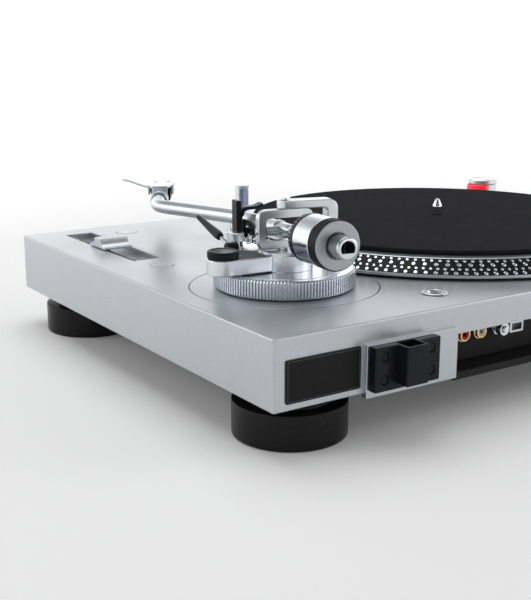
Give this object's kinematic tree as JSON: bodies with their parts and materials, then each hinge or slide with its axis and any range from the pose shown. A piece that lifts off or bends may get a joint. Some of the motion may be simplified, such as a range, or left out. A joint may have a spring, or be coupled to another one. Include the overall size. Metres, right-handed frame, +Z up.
{
  "type": "turntable record player",
  "caption": "Direct-drive turntable: flat silver plinth on round feet, spinning platter with felt mat, S-shaped tonearm on a height ring, sliding speed fader and rear sockets.",
  "frame": {"origin": "on the surface it stands on, under the middle of the outline with the hinge brackets", "axes": "+X to the right seen from the front, +Y to the rear, +Z up"},
  "size_m": [0.452, 0.37, 0.1262],
  "materials": {
    "case": "satin silver paint, fine metallic grain",
    "turned_aluminium": "satin turned aluminium",
    "arm_metal": "satin anodised tube",
    "polished": "polished",
    "platter_metal": "cast and turned, black dotted strobe band",
    "black_plastic": "moulded, fine texture",
    "label_black": "blank satin label",
    "foot_rubber": "moulded rubber",
    "felt": "pressed felt",
    "gold_contact": "gilt",
    "red_lens": "clear red, lit",
    "clear_lens": "clear",
    "copper": "enamelled winding",
    "bearing_bronze": "sintered bronze",
    "magnet": "ferrite ring",
    "zinc_steel": "zinc plated",
    "circuit_board": "solder mask"
  },
  "bodies": {
    "chassis": {"top_case": "case", "arm_base_plate": "case", "pitch_tray": "case", "strobe_housing": "case", "headshell_holder": "polished", "ground_terminal": "polished", "usb_port": "polished", "bottom_cover": "black_plastic", "rear_panel": "black_plastic", "hinge_bracket_right": "black_plastic", "hinge_bracket_left": "black_plastic", "dc_jack": "black_plastic", "label_plate": "label_black", "rca_jack_right": "gold_contact", "rca_jack_left": "gold_contact", "strobe_lens": "red_lens", "motor_stator": "copper", "bearing_sleeve": "bearing_bronze", "motor_base": "zinc_steel", "motor_drive_board": "circuit_board", "audio_board": "circuit_board"},
    "platter": {"platter": "platter_metal", "slipmat": "felt", "spindle": "polished", "rotor_magnet": "magnet"},
    "height_ring": {"height_ring": "turned_aluminium"},
    "arm_base": {"arm_base": "turned_aluminium", "gimbal_bracket": "turned_aluminium", "pivot_screw": "polished", "arm_rest": "black_plastic"},
    "anti_skate_dial": {"anti_skate_dial": "black_plastic"},
    "arm_clamp": {"arm_clamp": "black_plastic"},
    "gimbal": {"gimbal_ring": "turned_aluminium"},
    "tonearm": {"arm_tube": "arm_metal", "arm_shaft": "arm_metal", "headshell": "arm_metal", "finger_lift": "arm_metal", "cartridge": "black_plastic", "stylus": "black_plastic"},
    "cue_lever": {"cue_lever": "black_plastic"},
    "cue_lift": {"cue_lift_bar": "black_plastic"},
    "counterweight": {"counterweight": "polished"},
    "pressure_dial": {"pressure_dial": "black_plastic"},
    "headshell_collar": {"headshell_collar": "polished"},
    "pitch_knob": {"pitch_knob": "turned_aluminium"},
    "quartz_button": {"quartz_button": "case"},
    "pitch_range_button": {"pitch_range_button": "case"},
    "start_stop_button": {"start_stop_button": "case"},
    "speed_33_button": {"speed_33_button": "case"},
    "speed_45_button": {"speed_45_button": "case"},
    "power_knob": {"power_knob": "turned_aluminium"},
    "target_light": {"target_light": "case", "target_light_lens": "clear_lens"},
    "preamp_switch": {"preamp_switch": "black_plastic"},
    "ground_nut": {"ground_nut": "polished"},
    "adapter_45": {"adapter_45": "polished"},
    "foot_front_right": {"foot_front_right": "foot_rubber"},
    "foot_front_left": {"foot_front_left": "foot_rubber"},
    "foot_rear_right": {"foot_rear_right": "foot_rubber"},
    "foot_rear_left": {"foot_rear_left": "foot_rubber"}
  },
  "joints": [
    {"name": "platter_spin", "type": "hinge", "parent": "chassis", "child": "platter", "pos_m": [-0.0495, -0.009, 0.0827], "axis": [0, 0, -1], "continuous": true},
    {"name": "height_ring_turn", "type": "hinge", "parent": "chassis", "child": "height_ring", "pos_m": [0.1507, 0.0683, 0.076], "axis": [0, 0, 1], "range_deg": [0, 270]},
    {"name": "arm_height", "type": "slide", "parent": "chassis", "child": "arm_base", "axis": [0, 0, 1], "range_m": [0, 0.006]},
    {"name": "anti_skate_turn", "type": "hinge", "parent": "arm_base", "child": "anti_skate_dial", "pos_m": [0.1952, 0.067, 0.0948], "axis": [0, 0, 1], "range_deg": [0, 300]},
    {"name": "clamp_open", "type": "hinge", "parent": "arm_base", "child": "arm_clamp", "pos_m": [0.15289, 0.01634, 0.09807], "axis": [0.1547, 0.988, 0], "range_deg": [0, 75]},
    {"name": "arm_swing", "type": "hinge", "parent": "arm_base", "child": "gimbal", "pos_m": [0.1507, 0.0683, 0.1052], "axis": [0, 0, -1], "range_deg": [0, 46]},
    {"name": "arm_lift", "type": "hinge", "parent": "gimbal", "child": "tonearm", "pos_m": [0.1507, 0.0683, 0.1052], "axis": [-0.988, 0.1547, 0], "range_deg": [0, 2.4]},
    {"name": "cue_lever_turn", "type": "hinge", "parent": "arm_base", "child": "cue_lever", "pos_m": [0.181, 0.054, 0.0954], "axis": [-1, 0, 0], "range_deg": [0, 35]},
    {"name": "cue_lift_rise", "type": "slide", "parent": "arm_base", "child": "cue_lift", "axis": [0, 0, 1], "range_m": [0, 0.0017]},
    {"name": "weight_turn", "type": "hinge", "parent": "tonearm", "child": "counterweight", "pos_m": [0.1507, 0.0683, 0.1052], "axis": [0.1546, 0.9874, 0.034], "continuous": true},
    {"name": "pressure_dial_turn", "type": "hinge", "parent": "tonearm", "child": "pressure_dial", "pos_m": [0.1507, 0.0683, 0.1052], "axis": [0.1546, 0.9874, 0.034], "continuous": true},
    {"name": "collar_turn", "type": "hinge", "parent": "tonearm", "child": "headshell_collar", "pos_m": [0.13633, -0.12429, 0.09865], "axis": [-0.518, -0.8548, -0.0315], "range_deg": [0, 360]},
    {"name": "pitch_slide", "type": "slide", "parent": "chassis", "child": "pitch_knob", "axis": [0, 1, 0], "range_m": [-0.042, 0.042]},
    {"name": "quartz_button_press", "type": "slide", "parent": "chassis", "child": "quartz_button", "axis": [0, 0, -1], "range_m": [0, 0.0012], "stiffness_N_per_m": 300, "springref_m": -0.001},
    {"name": "pitch_range_button_press", "type": "slide", "parent": "chassis", "child": "pitch_range_button", "axis": [0, 0, -1], "range_m": [0, 0.0012], "stiffness_N_per_m": 300, "springref_m": -0.001},
    {"name": "start_stop_button_press", "type": "slide", "parent": "chassis", "child": "start_stop_button", "axis": [0, 0, -1], "range_m": [0, 0.0012], "stiffness_N_per_m": 600, "springref_m": -0.001},
    {"name": "speed_33_button_press", "type": "slide", "parent": "chassis", "child": "speed_33_button", "axis": [0, 0, -1], "range_m": [0, 0.0012], "stiffness_N_per_m": 300, "springref_m": -0.001},
    {"name": "speed_45_button_press", "type": "slide", "parent": "chassis", "child": "speed_45_button", "axis": [0, 0, -1], "range_m": [0, 0.0012], "stiffness_N_per_m": 300, "springref_m": -0.001},
    {"name": "power_turn", "type": "hinge", "parent": "chassis", "child": "power_knob", "pos_m": [-0.207, -0.117, 0.086], "axis": [0, 0, 1], "range_deg": [0, 40]},
    {"name": "light_press", "type": "slide", "parent": "chassis", "child": "target_light", "axis": [0, 0, 1], "range_m": [-0.023, 0], "stiffness_N_per_m": 60, "springref_m": 0.008},
    {"name": "preamp_slide", "type": "slide", "parent": "chassis", "child": "preamp_switch", "axis": [1, 0, 0], "range_m": [0, 0.008]},
    {"name": "ground_nut_turn", "type": "hinge", "parent": "chassis", "child": "ground_nut", "pos_m": [0.0455, 0.151, 0.0453], "axis": [0, 1, 0], "range_deg": [0, 720]},
    {"name": "adapter_lift_out", "type": "slide", "parent": "chassis", "child": "adapter_45", "axis": [0, 0, 1], "range_m": [0, 0.03]},
    {"name": "foot_front_right_turn", "type": "hinge", "parent": "chassis", "child": "foot_front_right", "pos_m": [0.19, -0.141, 0.01], "axis": [0, 0, 1], "range_deg": [0, 1080]},
    {"name": "foot_front_left_turn", "type": "hinge", "parent": "chassis", "child": "foot_front_left", "pos_m": [-0.19, -0.141, 0.01], "axis": [0, 0, 1], "range_deg": [0, 1080]},
    {"name": "foot_rear_right_turn", "type": "hinge", "parent": "chassis", "child": "foot_rear_right", "pos_m": [0.19, 0.131, 0.01], "axis": [0, 0, 1], "range_deg": [0, 1080]},
    {"name": "foot_rear_left_turn", "type": "hinge", "parent": "chassis", "child": "foot_rear_left", "pos_m": [-0.19, 0.131, 0.01], "axis": [0, 0, 1], "range_deg": [0, 1080]}
  ],
  "couplings": [
    {"joint": "height_ring_turn", "follows": "arm_height", "rad_per_m": 785.4},
    {"joint": "cue_lever_turn", "follows": "arm_lift", "ratio": 14.58},
    {"joint": "cue_lift_rise", "follows": "arm_lift", "m_per_rad": 0.0405}
  ]
}
